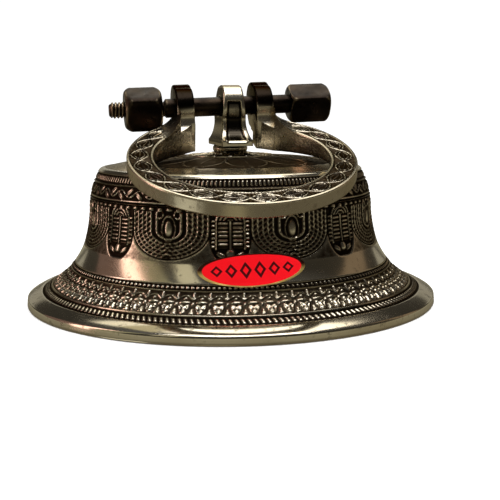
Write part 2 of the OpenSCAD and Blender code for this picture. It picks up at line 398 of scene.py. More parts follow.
def rope_row(z, around, middle, half_height, slant):
    """Slanted teeth round the bell."""
    share = share_of(around + slant * TAU / BEADS * (z - middle), BEADS)
    return ridge(share, 0.42) * within(z, middle - half_height, middle + half_height)


def frieze(z, around):
    """Lotus petals, each a shield with a cap, with leaves between them and an arch above."""
    x = 6 * share_of(around, FRIEZE_PETALS)
    between = 3 - np.abs(x)
    up = z - FRIEZE_Z
    half = 2.15 * np.sqrt(np.clip((up - 0.05) / 1.9, 0, 1))
    top = 2.45 - 0.45 * np.exp(-((x / 0.5) ** 2))
    shield = smooth(half - np.abs(x), 0, 0.45) * (1 - smooth(up, top - 0.1, top + 0.15))
    groove = ridge(np.abs(x) - half * 0.5, 0.26) * within(up, 0.9, 1.9)
    base_leaf = smooth(1.25 * (1 - up / 2.1) - between, 0, 0.3) * within(up, 0.05, 1.9)
    cap = np.sqrt(oval(x, up - 3.05, 2.1, 0.5))
    dot = np.sqrt(oval(between, up - 2.7, 0.62, 0.5))
    arch = ridge(up - 3.75 - 1.1 * np.cos(x * math.pi / 6), 0.24)
    stroke = ridge(between - 0.12 * (up - 4.7), 0.34) * within(up, 3.5, 5.6)
    seed = np.sqrt(oval(x, up - 4.05, 0.55, 0.42))
    return highest(shield - 0.75 * groove, 0.9 * base_leaf, cap, 0.8 * dot, 0.8 * arch, 0.8 * stroke,
                   0.7 * seed)


def garland(u, z):
    """Nested garlands at a distance u from their middle, with a drop and two curls inside them, and
    the reach of each point from their centre."""
    reach = np.hypot(u, np.clip(31.5 - z, 0, None) * 1.5)
    hatch = 0.5 + 0.5 * np.cos(TAU * (0.62 * z + 0.42 * u))
    strands = highest(ridge(reach - 4.4, 0.6), ridge(reach - 13.4, 0.42),
                      *[ridge(reach - at, 0.38) for at in (6.6, 8.3, 10, 11.7)])
    filled = 0.62 * hatch * within(reach, 6.6, 13.2)
    made = highest(strands * (1 - 0.25 * hatch), filled) * (1 - smooth(z, 37, 37.4))
    curl = ridge(np.hypot(u - 3.2, z - 36.3) - 1.2, 0.36)
    drop = highest(np.sqrt(oval(u, z - 31.8, 1.5, 2.7)),
                   0.6 * ridge(np.hypot(u, (z - 31.8) * 0.6) - 2.4, 0.26))
    return highest(made, curl, drop), reach


def ribbed_column(x, z):
    """A column of rungs between notched edges, a fan above it and a bead with two leaves below."""
    side = np.abs(x)
    ladder = 0.8 * ridge(repeat(z, 1.3), 0.46) * within(side, 0.75, 3.9) * within(z, 26.2, 34.6)
    notches = ridge(repeat(z, 1.3, 0.65), 0.42) * within(side, 4.9, 6.1)
    edges = highest(ridge(side - 4.5, 0.32), notches) * within(z, 25.6, 35.2)
    fan_r = np.hypot(side, z - 33.8)
    fan = ridge(repeat(fan_r, 1.15), 0.42) * within(fan_r, 1.2, 5.2) * smooth(z, 34.7, 35)
    bead = np.sqrt(oval(x, z - 24.4, 1.5, 1.5))
    leaf_x, leaf_z = side - 2.9, z - 23.9
    leaf = np.sqrt(oval(leaf_x, leaf_z, 1.9, 0.75, 28)) - 0.5 * ridge(leaf_z - leaf_x * 0.5, 0.2)
    rib = 0.9 * ridge(side, 0.3) * within(z, 26, 34.8)
    inside = (1 - smooth(side, *COLUMN_EDGE)) * (1 - smooth(z, 37.2, 37.6))
    return highest(ladder, edges, fan, bead, leaf, rib) * inside


def festoons(z, around):
    """Garlands with a column between each two and scallops above, and where their ground is sunk."""
    x = repeat(around - COLUMN_TURN, TAU / GARLANDS) * GARLAND_R
    side = np.abs(x)
    swag, reach = garland(math.pi * GARLAND_R / GARLANDS - side, z)
    scallop = ridge(repeat(around, TAU / SCALLOPS) * 52, 1.3) * within(z, 37.5, 38.3)
    sunk = highest(smooth(14.4 - reach, 0, 0.5),
                   smooth(6.9 - np.hypot(side, 0.8 * np.clip(29 - z, 0, None)), 0, 0.6),
                   smooth(z, 27.5, 29.5))
    return highest(swag * smooth(side, *COLUMN_EDGE), ribbed_column(x, z), 0.8 * scallop), sunk


def vine(z, around):
    """A running vine with a leaf in each bend."""
    share = share_of(around, VINE_WAVES)
    up = z - sum(VINE_BAND) / 2
    made = ridge(up - 1.1 * np.sin(TAU * share), 0.36)
    for sign in (1, -1):
        x, y = share * 8.8 + 2.2 * sign, up - 0.7 * sign
        leaf = np.sqrt(oval(x, y, 2.1, 0.85, sign * math.degrees(LEAF_LEAN)))
        vein = ridge(y * math.cos(LEAF_LEAN) - x * sign * math.sin(LEAF_LEAN), 0.2)
        made = highest(made, leaf - 0.45 * vein)
    return made


def lines(z, *levels):
    return highest(*[ridge(z - at, half) for at, half in levels])


def wall_relief(z, around):
    """Height of the ornament over the wall's plain surface, in millimetres."""
    low = highest(0.8 * rope_row(z, around, 6.35, 0.46, 0.45),
                  lines(z, (7.4, 0.3), (13.55, 0.28), (LOW_LINE_Z, 0.26)),
                  frieze(z, around) * within(z, *FRIEZE_BAND),
                  0.9 * rope_row(z, around, 14.45, 0.42, 0.3))
    swags, sunk = festoons(z, around)
    high = highest(swags * within(z, *GARLAND_BAND),
                   lines(z, (38.85, 0.3), (39.85, 0.3), (44.6, 0.34), (47.8, 0.3)),
                   0.95 * vine(z, around) * within(z, *VINE_BAND),
                   0.75 * ridge(share_of(around, BEADS), 0.42) * within(z, *TEETH_BAND))
    low_band = within(z, *LOW_GROUND, 0.1)
    high_band = np.clip(sunk * within(z, *SWAG_GROUND, 0.1) + within(z, *TOP_GROUND, 0.1), 0, 1)
    return low_band * LOW_DEPTH * (1.15 * low - 1) + high_band * HIGH_DEPTH * (1.2 * high - 1)


def crown_relief(r, around):
    """Height of the ornament on the crown, in millimetres: broad petals over fine rings, and a
    plain polished border with a scalloped inner edge."""
    width = TAU * r / CROWN_PETALS
    x = share_of(around, CROWN_PETALS) * width
    up = np.clip((r - 16) / 20.5, 0, 1)
    edge = 0.5 * width * np.clip(np.cos(math.pi * 0.5 * up**2.2), 0, 1) ** 0.55
    petals = highest(ridge(np.abs(x) - edge, 0.6), 0.7 * ridge(x, 0.4) * within(r, 18, 31))
    rings = 0.55 * ridge(repeat(r, 1.55), 0.55) * (r < 37.4)
    border = smooth(r - 38 - 0.5 * np.abs(np.sin(around * 18)), 0, 0.4)
    return within(r, 16.2, 45.7, 0.15) * CROWN_DEPTH * (highest(petals, rings, border) - 1)


def show_of(height, depth, reach=3):
    """Wear over a grid of relief heights: near 1 where it stands proud, near 0 where it is sunk."""
    blurred = height
    for axis in (0, 1):
        blurred = sum(np.roll(blurred, k, axis) for k in range(-reach, reach + 1)) / (2 * reach + 1)
    proud = 0.5 + (height - blurred) / (0.55 * depth)
    level = 1 + height / depth
    return np.clip(0.5 * proud + 0.55 * level - 0.02, 0, 1)


# ---------------- materials

class Nodes:
    """A new material's node tree, with short ways to add nodes to it."""

    def __init__(self, name):
        self.material = bpy.data.materials.new(name)
        self.material.use_nodes = True
        self.tree = self.material.node_tree
        self.shader = self.tree.nodes["Principled BSDF"]
        self.place = self.add("TexCoord").outputs["Object"]

    def add(self, kind, **settings):
        node = self.tree.nodes.new("ShaderNode" + kind)
        for name, value in settings.items():
            setattr(node, name, value)
        return node

    def put(self, socket, value):
        """Gives a socket a value, or links another node's output to it."""
        if isinstance(value, bpy.types.NodeSocket):
            self.tree.links.new(value, socket)
        else:
            socket.default_value = (*value, 1) if socket.type == "RGBA" else value

    def feed(self, node, **values):
        """The node, with its named sockets fed. A space in a name is an underscore here."""
        for name, value in values.items():
            if value is not None:
                self.put(node.inputs[name.replace("_", " ")], value)
        return node

    def maths(self, operation, *values):
        node = self.add("Math", operation=operation)
        for socket, value in zip(node.inputs, values):
            self.put(socket, value)
        return node.outputs[0]

    def times(self, a, b):
        return self.maths("MULTIPLY", a, b)

    def plus(self, a, b):
        return self.maths("ADD", a, b)

    def swing(self, value, amount):
        """A value from 0 to 1, brought to amount / 2 on either side of 0."""
        return self.times(self.plus(value, -0.5), amount)

    def attribute(self, name):
        return self.add("Attribute", attribute_name=name).outputs["Fac"]

    def noise(self, scale, detail=4, stretch=(1, 1, 1), where=None):
        mapping = self.feed(self.add("Mapping"), Vector=where or self.place, Scale=stretch)
        return self.feed(self.add("TexNoise"), Vector=mapping.outputs[0], Scale=scale,
                         Detail=detail).outputs[0]

    def ramp(self, value, low, high, from_value=0.0, to_value=1.0):
        return self.feed(self.add("MapRange", interpolation_type="SMOOTHSTEP"), Value=value,
                         From_Min=low, From_Max=high, To_Min=from_value, To_Max=to_value).outputs[0]

    def mix(self, share, a, b):
        node = self.feed(self.add("Mix", data_type="RGBA"), Factor=share, A=a, B=b)
        return node.outputs["Result"]

    def bump(self, height, distance, strength, normal=None):
        return self.feed(self.add("Bump"), Height=height, Distance=distance, Strength=strength,
                         Normal=normal).outputs[0]

    def finish(self, colour, roughness, metallic=1.0, normal=None, **others):
        self.feed(self.shader, Base_Color=colour, Roughness=roughness, Metallic=metallic,
                  Normal=normal, **others)
        return self.material


def ornament_metal(name, shine=(0.18, 0.48), warmth=0.35):
    """Antiqued brass: bright where it is rubbed, black in the recesses, a little tarnished, and with
    painted shade and painted highlights where its vertex attribute carries them.
    """
    n = Nodes(name)
    blotch = n.noise(55, 5)
    rub_and_shade = n.plus(n.attribute("wear_and_shade"), n.swing(n.noise(700, 3), 0.35))
    rub_and_shade = n.plus(rub_and_shade, n.swing(blotch, 0.3))
    metal = n.mix(n.ramp(blotch, 0.35, 0.65, 0.0, warmth), PALE_BRASS, WARM_BRASS)
    colour = n.mix(n.ramp(rub_and_shade, 0.2, 0.6), PATINA_AND_SHADE, TARNISH)
    colour = n.mix(n.ramp(rub_and_shade, 0.55, 0.9), colour, metal)
    rough = n.ramp(rub_and_shade, 0.3, 0.85, shine[1], shine[0])
    grain = n.bump(n.noise(1500, 4), 0.00005, 0.35)
    return n.finish(colour, rough, normal=grain, Specular_Tint=(0.5, 0.46, 0.4))


def turned_metal(name, grazing=(1, 1, 1), dull=0.0):
    """Polished brass with the fine marks of turning round it, a few handling scuffs, dirt in its corners
    and painted shade where its vertex attribute is low. grazing tints its reflections at low angles, and
    dull makes it rougher."""
    n = Nodes(name)
    split = n.feed(n.add("SeparateXYZ"), Vector=n.place)
    flat = n.feed(n.add("CombineXYZ"), X=split.outputs["X"], Y=split.outputs["Y"])
    radius = n.feed(n.add("VectorMath", operation="LENGTH"), Vector=flat.outputs[0])
    across = n.feed(n.add("CombineXYZ"), X=radius.outputs["Value"], Y=split.outputs["Z"])
    blotch = n.noise(38, 4)
    scuff = n.ramp(n.noise(420, 6), 0.56, 0.72)
    colour = n.mix(n.ramp(blotch, 0.3, 0.7, 0.0, 0.5), PALE_BRASS, WARM_BRASS)
    colour = n.mix(n.times(scuff, 0.35), colour, TARNISH)
    colour = n.mix(n.ramp(n.attribute("wear_and_shade"), 0.16, 0.44), PATINA_AND_SHADE, colour)
    rough = n.plus(n.ramp(blotch, 0.3, 0.75, 0.1 + dull, 0.2 + dull), n.times(scuff, 0.12))
    normal = n.bump(n.noise(26, 2), 0.0006, 0.2)
    normal = n.bump(n.noise(2600, 3, where=across.outputs[0]), 0.000006, 0.25, normal)
    return n.finish(colour, rough, normal=normal, Specular_Tint=grazing)


def cast_metal(name, colours=(DULL_BRASS, WARM_BRASS), rough=(0.42, 0.6)):
    """Brass as it came from the mould, with a fine sandy skin and dark stains."""
    n = Nodes(name)
    share = n.plus(n.times(n.attribute("wear_and_shade"), 0.8), n.times(n.noise(70, 5), 0.4))
    colour = n.mix(n.ramp(share, 0.35, 0.85), colours[0], colours[1])
    colour = n.mix(n.ramp(n.noise(160, 5), 0.55, 0.75, 0.0, 0.6), colour, TARNISH)
    normal = n.bump(n.noise(900, 5), 0.00012, 0.5)
    return n.finish(colour, n.ramp(share, 0.4, 0.8, rough[1], rough[0]), normal=normal)


def dark_bronze(name):
    """Oxidised bronze, rubbed lighter along its edges."""
    n = Nodes(name)
    blotch = n.noise(110, 5)
    share = n.plus(n.attribute("wear_and_shade"), n.swing(blotch, 0.3))
    colour = n.mix(n.ramp(blotch, 0.35, 0.75), (0.013, 0.009, 0.007), (0.05, 0.034, 0.022))
    colour = n.mix(n.ramp(share, 0.62, 0.85), colour, (0.36, 0.28, 0.18))
    rough = n.ramp(n.noise(300, 5), 0.3, 0.7, 0.26, 0.46)
    normal = n.bump(n.noise(600, 5), 0.0001, 0.35)
    return n.finish(colour, rough, normal=normal)


def plain_steel(name, colour, rough):
    """Satin steel with a brushed grain and a little rust at its edges."""
    n = Nodes(name)
    grain = n.noise(500, 3, (1, 1, 12))
    rust = n.ramp(n.noise(220, 6), 0.6, 0.78)
    shade = n.mix(n.times(rust, 0.55), colour, (0.16, 0.085, 0.045))
    finish = n.ramp(grain, 0.3, 0.7, rough - 0.06, rough + 0.08)
    return n.finish(shade, finish, normal=n.bump(grain, 0.00003, 0.4))


def label_print(name):
    """Glossy red with a gold foil border that has painted shade along its top, and a row of dark
    lozenges.
    """
    n = Nodes(name)
    x, z, oval_r = (n.attribute(a) for a in ("label_x", "label_z", "label_oval"))
    pitch, reach, tall = 4.6, 13.9, 2.9
    off = n.maths("PINGPONG", n.plus(x, 50.5 * pitch), pitch / 2)
    far = n.maths("DIVIDE", n.maths("ABSOLUTE", x), reach + 5)
    high = n.maths("SUBTRACT", tall, n.times(far, 1.9))
    lozenge = n.plus(n.maths("DIVIDE", off, 2.05), n.maths("DIVIDE", n.maths("ABSOLUTE", z), high))
    inside = n.maths("LESS_THAN", n.maths("ABSOLUTE", x), reach)
    filled = n.times(n.ramp(lozenge, 0.9, 1.0, 1.0, 0.0), inside)
    ink = n.times(filled, n.ramp(lozenge, 0.42, 0.52))
    red = n.mix(n.ramp(n.noise(60, 3), 0.3, 0.7), (0.78, 0.0, 0.005), (0.88, 0.001, 0.008))
    foil = n.ramp(oval_r, 0.915, 0.93)
    # painted shade: the foil border goes dark towards its top
    border = n.mix(n.ramp(z, -1.6, 0.6), (0.92, 0.66, 0.2), (0.05, 0.02, 0.012))
    colour = n.mix(foil, n.mix(ink, red, (0.045, 0.001, 0.002)), border)
    paper = n.noise(900, 3)
    return n.finish(colour, n.ramp(paper, 0.3, 0.7, 0.34, 0.4), n.times(foil, 0.8),
                    n.bump(paper, 0.00002, 0.2), Specular_IOR_Level=0.12, Coat_Weight=0.06,
                    Coat_Roughness=0.1)


def floor_finish(name):
    """Pale matt paper, lifted a little so that it stays as light as the backdrop."""
    n = Nodes(name)
    shade = n.mix(n.ramp(n.noise(3, 4), 0.3, 0.7), (0.86, 0.86, 0.855), (0.9, 0.9, 0.9))
    return n.finish(shade, n.ramp(n.noise(40, 4), 0.3, 0.7, 0.6, 0.75), metallic=0.0,
                    Emission_Color=(1, 1, 1), Emission_Strength=0.32)


# ---------------- the bell

def outer_wall():
    """The wall's outline from the top of the bevel to the shoulder, as [radius, height]."""
    shoulder = [SHOULDER_R, CROWN_Z - 1.1]
    return joined(arc([RIM_R - BEVEL_W, FLARE_Z], [COVE_R, COVE_Z], 2.1, 60),
                  arc([COVE_R, COVE_Z], [WAIST_R, WAIST_Z], 0.45, 24),
                  arc([WAIST_R, WAIST_Z], shoulder, -0.95, 30))


def shell_outline():
    """The shell's closed outline, [radius, height], and the rows at which its five parts end: the
    rim, the wall, the crown's edge, the crown and the inside."""
    wall = outer_wall()
    inner = wall - normals(wall) * WALL_T
    inner = inner[inner[:, 1] < CROWN_UNDER_Z - 1.2]
    bore = STUD_R + 0.1
    rim = rounded([[RIM_R - 5.6, 0], [RIM_R, 0], [RIM_R - 0.2, RIM_H], [RIM_R - BEVEL_W, FLARE_Z],
                   [RIM_R - 12, 6]], [0.3, 0.7, 0.45, 0.25, 0])[:-1]
    crown_edge = arc(wall[-1], [CROWN_R, CROWN_Z], -0.4, 8)
    crown = joined(arc([CROWN_R, CROWN_Z], [LOTUS_R, DOME_Z], -0.8, 40), [[bore, DOME_Z]])
    below = joined([[bore, DOME_Z], [bore, CROWN_UNDER_Z], [inner[-1][0] - 1.2, CROWN_UNDER_Z]],
                   inner[::-1])
    parts = [spaced(rim, 0.5), spaced(wall, ROW_STEP)[1:], spaced(crown_edge, 0.35)[1:],
             spaced(crown, 0.55)[1:], spaced(below, 2.2)[1:-1]]
    return np.vstack(parts), np.cumsum([len(p) for p in parts])


def shell_wear_and_shade(outline, height, is_wall, is_crown, inside):
    """Wear over the shell, from the relief on its wall and crown and even elsewhere, with painted shade
    over the crown's engraved field and a painted highlight on the frieze.
    """
    wear_and_shade = np.ones_like(height)
    ornament = is_wall | is_crown
    wear_and_shade[ornament] = show_of(height, 0.45)[ornament]
    level = outline[is_wall, 1:]
    upper = within(level, GARLAND_BAND[0], TEETH_TOP_Z, 0.5)
    wear_and_shade[is_wall] *= 1 - 0.2 * upper
    # painted shade: the crown's engraved field is made darker
    wear_and_shade[is_crown] **= 1 + 0.9 * within(outline[is_crown, :1], 16, 37.5, 0.8)
    # painted highlight: the frieze is made lighter, and the upper bands are lifted a little too
    lightened = 0.42 * within(level, FRIEZE_Z, FRIEZE_BAND[1], 0.3) + 0.12 * upper
    wear_and_shade[is_wall] += lightened * (1 - wear_and_shade[is_wall])
    wear_and_shade[inside] = 0.45
    return wear_and_shade


def bell_shell():
    outline, ends = shell_outline()
    row = np.arange(len(outline))
    is_wall = (row >= ends[0]) & (row < ends[1])
    is_crown = (row >= ends[2]) & (row < ends[3])
    inside = row >= ends[3]
    angle = circle(COLUMNS)
    around = angle + math.pi / 2
    r, z = outline[:, :1], outline[:, 1:]
    height = np.zeros((len(outline), COLUMNS))
    height[is_wall] = wall_relief(z[is_wall], around)
    height[is_crown] = crown_relief(r[is_crown], around)
    share = np.clip((RIM_R - 0.2 - r) / (BEVEL_W - 0.2), 0, 1)
    on_bevel = (row < ends[0])[:, None] & (z > RIM_H - 0.1)
    raised = height + 0.75 * share * (1 - share) * on_bevel
    out = normals(outline, closed=True)
    points = swept(r + raised * out[:, :1], z + raised * out[:, 1:], angle)
    mesh = mesh_of("bell_shell", stacked(points, close_rows=True))
    in_cove = (outline[:, 1] > COVE_BAND[0]) & (outline[:, 1] < COVE_BAND[1])
    which = np.where(inside, 2, np.where(is_wall & ~in_cove | is_crown, 0, 1))
    add_piece("bell_brass_shell", mesh, "bell",
              [ornament_metal("antique_brass"), turned_metal("turned_brass"),
               cast_metal("cast_brass_inside")], ["bell_shell"], 60,
              shell_wear_and_shade(outline, height, is_wall, is_crown, inside), np.repeat(which, COLUMNS))


# ---------------- the crown lug

def lug_side():
    """Half depth of the lug at each height, from the foot to the top."""
    return joined([[FOOT_D / 2, FOOT_Z]],
                  arc([FOOT_D / 2, FOOT_Z + 2], [8.2, BOLT_Z - 4.3], 1.9, 24),
                  arc([8.2, BOLT_Z - 4.3], [6, LUG_TOP_Z - 1.4], -1.5, 24),
                  arc([6, LUG_TOP_Z - 1.4], [0.4, LUG_TOP_Z], -0.6, 12))


def lug_plate():
    """The upright plate, with soft edges and a hollow down its front and back."""
    columns = 240
    side = spaced(lug_side(), 0.3)
    width = joined([[FOOT_W / 2, FOOT_Z]],
                   arc([FOOT_W / 2, FOOT_Z + 2], [LUG_TOP_W / 2 + 0.9, BOLT_Z - 4], 0.4, 12),
                   [[LUG_TOP_W / 2, LUG_TOP_Z - 0.6], [LUG_TOP_W / 2 - 0.4, LUG_TOP_Z]])
    sections = []
    for depth, z in side:
        half = np.interp(z, width[:, 1], width[:, 0])
        soft = min(1.0, depth * 0.8)
        box = rounded([[half, -depth], [half, depth], [-half, depth], [-half, -depth]], [soft] * 4, 7)
        box = np.vstack([box, box[:1]])
        ring = resampled(box, np.linspace(0, lengths(box)[-1], columns, endpoint=False))
        hollow = (0.9 * within(np.abs(ring[:, 0]), -1, half * 0.6, 0.4)
                  * within(z, FOOT_Z + 1.6, BOLT_Z + 1.6, 0.5))
        ring[:, 1] -= np.sign(ring[:, 1]) * hollow * (np.abs(ring[:, 1]) > depth * 0.6)
        sections.append(np.column_stack([ring, np.full(columns, z)]))
    return stacked(np.array(sections))


def lotus():
    """The lotus under the lug: a row of petals, and a row of buds round its collar."""
    top = DOME_Z + LOTUS_H
    cone = arc([LOTUS_R, DOME_Z + 0.5], [NECK_R, top], 0.25, 30)
    collar = joined([[NECK_R, top]],
                    arc([NECK_R - 0.2, top + 0.3], [NECK_R - 0.2, FOOT_Z - 0.2], -0.4, 10))
    outline = spaced(joined([[LOTUS_R, DOME_Z - 0.4], [LOTUS_R, DOME_Z + 0.4]], cone, collar,
                            [[NECK_R - 0.6, FOOT_Z + 0.5], [0.4, FOOT_Z + 0.5]]), 0.24)
    outline = np.vstack([[[0.4, DOME_Z - 0.4]], outline])
    columns = 432
    angle = circle(columns)
    around = angle + math.pi / 2
    r, z = outline[:, :1], outline[:, 1:]
    up = (LOTUS_R - r) / (LOTUS_R - NECK_R)
    on_cone = (z > DOME_Z + 0.42) & (z < top + 0.05)
    share = share_of(around, LOTUS_PETALS)
    half = 0.46 * np.clip(1 - up, 0, 1) ** 0.35
    width = TAU * r / LOTUS_PETALS
    outline_ridge = ridge((np.abs(share) - half) * width, 0.4)
    vein = ridge(share * width, 0.3)
    hatch = ridge(repeat(z + np.abs(share) * width * 0.5, 0.8), 0.3) * 0.6
    petals = highest(outline_ridge, vein, hatch) * (up < 0.72)
    buds = ridge(share_of(around, LOTUS_BUDS), 0.36) * within(up, 0.78, 0.97, 0.03)
    height = np.where(on_cone, LOTUS_DEPTH * (1.05 * highest(petals, buds) - 1), 0)
    out = normals(outline)
    return stacked(swept(r + height * out[:, :1], z + height * out[:, 1:], angle))


def eye_plate(middle_z):
    """A small upright eye: a rounded plate round a hole along X."""
    outer = EYE_R + EYE_WALL
    angle = circle(64)
    return plate(np.column_stack([outer * np.cos(angle), middle_z + outer * np.sin(angle)]),
                 -EYE_T / 2, EYE_T / 2, 0.5)


def along_x(radius, length, y, z, columns=64):
    """A round bar along X, with its middle at y and z."""
    bar = cylinder(radius, -length / 2, length / 2, columns)
    return placed(bar, shift(0, y, z) @ turn("Y", 90))


def lug_wear_and_shade(mesh):
    """Wear over the lug, with painted shade in its hollow and on its sides and a painted highlight on
    the lotus.
    """
    x, y, z = points_of(mesh).T
    shaded_panel = within(np.abs(x), -1, 2.3, 0.4) * within(z, FOOT_Z + 2, BOLT_Z + 1.2, 0.5) * (np.abs(y) > 5)
    lotus_highlight = within(z, DOME_Z + 0.5, FOOT_Z - 0.3, 0.1)
    half = np.interp(z, [FOOT_Z + 2, BOLT_Z - 4, LUG_TOP_Z],
                     [FOOT_W / 2, LUG_TOP_W / 2 + 0.9, LUG_TOP_W / 2])
    shaded_side = smooth(np.abs(x) - half, -0.5, -0.1) * (z > FOOT_Z + 1)
    # painted shade in the hollow and on the sides, painted highlight on the lotus
    return worn(mesh, 1.3, 2) - 0.08 - 0.17 * shaded_panel - 0.24 * shaded_side + 0.25 * lotus_highlight


def crown_lug():
    outer = EYE_R + EYE_WALL
    stud = turned(np.array([[STUD_R - 0.6, STUD_NUT_Z - 1], [STUD_R, STUD_NUT_Z - 0.4],
                            [STUD_R, DOME_Z + 1]]), 96)
    tongue = plate(rounded([[-outer, EYE_Z], [outer, EYE_Z], [outer, STUD_NUT_Z], [-outer, STUD_NUT_Z]],
                           [0, 0, 0, 0]), -EYE_T / 2, EYE_T / 2, 0.4)
    mesh = combined("crown_lug", lug_plate(), [
        ("UNION", lotus()), ("UNION", stud), ("UNION", tongue), ("UNION", eye_plate(EYE_Z)),
        ("DIFFERENCE", along_x(BORE_R, FOOT_W + 8, 0, BOLT_Z)),
        ("DIFFERENCE", along_x(EYE_R, EYE_T + 4, 0, EYE_Z, 48))])
    add_piece("lug_with_lotus", mesh, "bell",
              [turned_metal("lug_brass_finish", DARK_GRAZING, 0.05)], ["crown_lug"], 50, lug_wear_and_shade(mesh))


# ---------------- the hanging ring

def on_bolt():
    return shift(0, 0, BOLT_Z) @ turn("Y", -BOLT_SLOPE)


def ring_place():
    return (on_bolt() @ shift(RING_SHIFT, 0, 0) @ turn("X", RING_TILT)
            @ shift(0, -RING_REACH, -RING_DROP))


def ring_engraving(r, around):
    """A chain of pointed ovals between two lines, cut into the ring's top face."""
    middle, reach = (RING_R + RING_IN_R) / 2 + 0.1, 2.75
    share = share_of(around, RING_OVALS)
    off = np.abs(r - middle)
    edge = reach * np.cos(math.pi * share) ** 0.9
    chain = ridge(off - edge, 0.42)
    inner = ridge(off - edge + 1.15, 0.26) * (edge > 1.5)
    vein = ridge(off, 0.24) * within(np.abs(share), -1, 0.3, 0.05)
    ticks = ridge(share_of(around, 8 * RING_OVALS), 0.3) * (off > edge + 0.6) * 0.5
    border = lines(r, (RING_R - 0.75, 0.42), (RING_IN_R + 0.75, 0.42))
    band = within(r, RING_IN_R + 0.5, RING_R - 0.5, 0.15)
    return band * RING_DEPTH * (1.05 * highest(chain, inner, vein, ticks, border) - 1)


def ring_body():
    soft = 0.55
    section = rounded([[RING_IN_R, 0], [RING_IN_R, -RING_IN_T], [RING_R - 3, -RING_T],
                       [RING_R, -RING_T], [RING_R, 0]], [soft, soft, 1.2, soft, soft], 6)
    section = np.vstack([section, section[:1]])
    outline = spaced(section, 0.28)[:-1]
    columns = 720
    angle = circle(columns)
    around = angle + math.pi / 2
    r, z = outline[:, :1], outline[:, 1:]
    height = np.where(z > -0.05, ring_engraving(r, around), 0)
    return stacked(swept(r, z + height, angle), close_rows=True)


def ear_side():
    """One ear from the side, as [distance behind the ring's centre, height over its top face]."""
    back, front = RING_REACH + EAR_HALF, RING_REACH - EAR_HALF
    peak = [RING_REACH, RING_DROP + EAR_TOP]
    return joined(arc([front - 5, -0.5], [front, RING_DROP], -1, 10),
                  arc([front, RING_DROP + 1], peak, 2.6, 16),
                  arc(peak, [back, RING_DROP + 1], 2.6, 16),
                  arc([back, RING_DROP + 1], [RING_REACH + 3, -RING_T], 1.6, 12),
                  [[front, -RING_T + 0.02], [front - 5, -RING_IN_T]])


def ear_ramp(side):
    """The hollow ramp from an ear's outer face down to the ring's top face."""
    x0 = EAR_GAP / 2 + EAR_T - 0.7
    shape = joined(arc([x0, RAMP_R], [x0 + RAMP_R, -0.06], -2.05, 16), [[x0 + RAMP_R, -1], [x0, -1]])
    points = []
    for y in np.linspace(18, 36, 40):
        points.append(np.column_stack([side * shape[:, 0], np.full(len(shape), y), shape[:, 1]]))
    return stacked(np.array(points))


def heels():
    """The deeper inner half of the ring towards the ears, its edges softened."""
    side = rounded([[HEEL_START, 1 - RING_IN_T], [RING_R, 1 - RING_IN_T], [RING_R, -HEEL_T],
                    [HEEL_FULL, -HEEL_T]], [0, 0, 0, 6], 12)
    outer = RING_IN_R + HEEL_W
    edge = arc([outer, 1 - HEEL_T], [outer - 1, -HEEL_T - 0.02], -0.29, 6)
    bar = turned(np.vstack([[outer, -1], edge]), 360)
    return solid_of(combined("heels", bar, [("INTERSECT", plate(side, -RING_R, RING_R, 0.01, 1))]))


def ring_wear_and_shade(mesh):
    """Wear over the ring before it is put in its place, with painted shade up the ears, on their faces
    and on the inner wall, and which points are on its top face.
    """
    x, y, z = points_of(mesh).T
    r = np.hypot(x, y)
    cut = ring_engraving(r, np.arctan2(y, x) + math.pi / 2)
    on_top = (np.abs(z - cut) < 0.02) & (r < RING_R - 0.4)
    shaded_inner = (r < RING_IN_R + 0.3) & (z < -0.6)
    from_side = np.minimum(np.abs(np.abs(x) - EAR_GAP / 2), np.abs(np.abs(x) - EAR_GAP / 2 - EAR_T))
    shaded_ear_face = (from_side < 0.05) & (z > 0.5) & (y > RING_REACH - EAR_HALF - 5)
    # painted shade: darker up the ears towards their tops
    wear_and_shade = 0.1 + worn(mesh, 0.8, 2) - 0.7 * smooth(z, RING_DROP - 1.5, RING_DROP + 7)
    wear_and_shade[on_top] = 0.2 + 0.76 * (1 + cut[on_top] / RING_DEPTH) ** 1.5
    # painted shade on the inner wall and on the ears' faces
    wear_and_shade[shaded_inner] = 0.26
    wear_and_shade[shaded_ear_face] = 0.2
    return wear_and_shade, on_top


def hanging_ring():
    gap = np.array([[0, -12], [RING_R + 2, -12], [RING_R + 2, 3], [0, 3]], float)
    parts = [("UNION", heels()),
             ("DIFFERENCE", plate(gap, -EAR_GAP / 2, EAR_GAP / 2, 0.01, 1))]
    for side in (-1, 1):
        x = sorted((side * EAR_GAP / 2, side * (EAR_GAP / 2 + EAR_T)))
        ramp = combined("ramp", ear_ramp(side), [("INTERSECT", cylinder(RING_R - 0.03, -4, 12))])
        ear = combined("ear", plate(ear_side(), *x, 0.7), [("UNION", solid_of(ramp))])
        parts.append(("UNION", solid_of(ear)))
    bore = along_x(EAR_BORE_R, 2 * EAR_T + EAR_GAP + 6, RING_REACH, RING_DROP)
    parts += [("DIFFERENCE", cylinder(RING_IN_R + 0.02, -14, 30)), ("DIFFERENCE", bore)]
    mesh = combined("hanging_ring", ring_body(), parts)
    wear_and_shade, on_top = ring_wear_and_shade(mesh)
    top_faces = [all(on_top[v] for v in face.vertices) for face in mesh.polygons]
    move(mesh, ring_place())
    add_piece("folding_hanging_ring", mesh, "ring",
              [turned_metal("ring_polish", DARK_GRAZING, 0.1),
               ornament_metal("ring_engraved", (0.2, 0.4), 0.2)], ["hanging_ring"], 45, wear_and_shade, top_faces)


# ---------------- bolt, nut and washer

def across_x(x, r, angle):
    """One section across X, with its points at radius r from the bottom round by way of +Y."""
    return np.column_stack([np.full(len(angle), x), r * np.sin(angle), -r * np.cos(angle)])


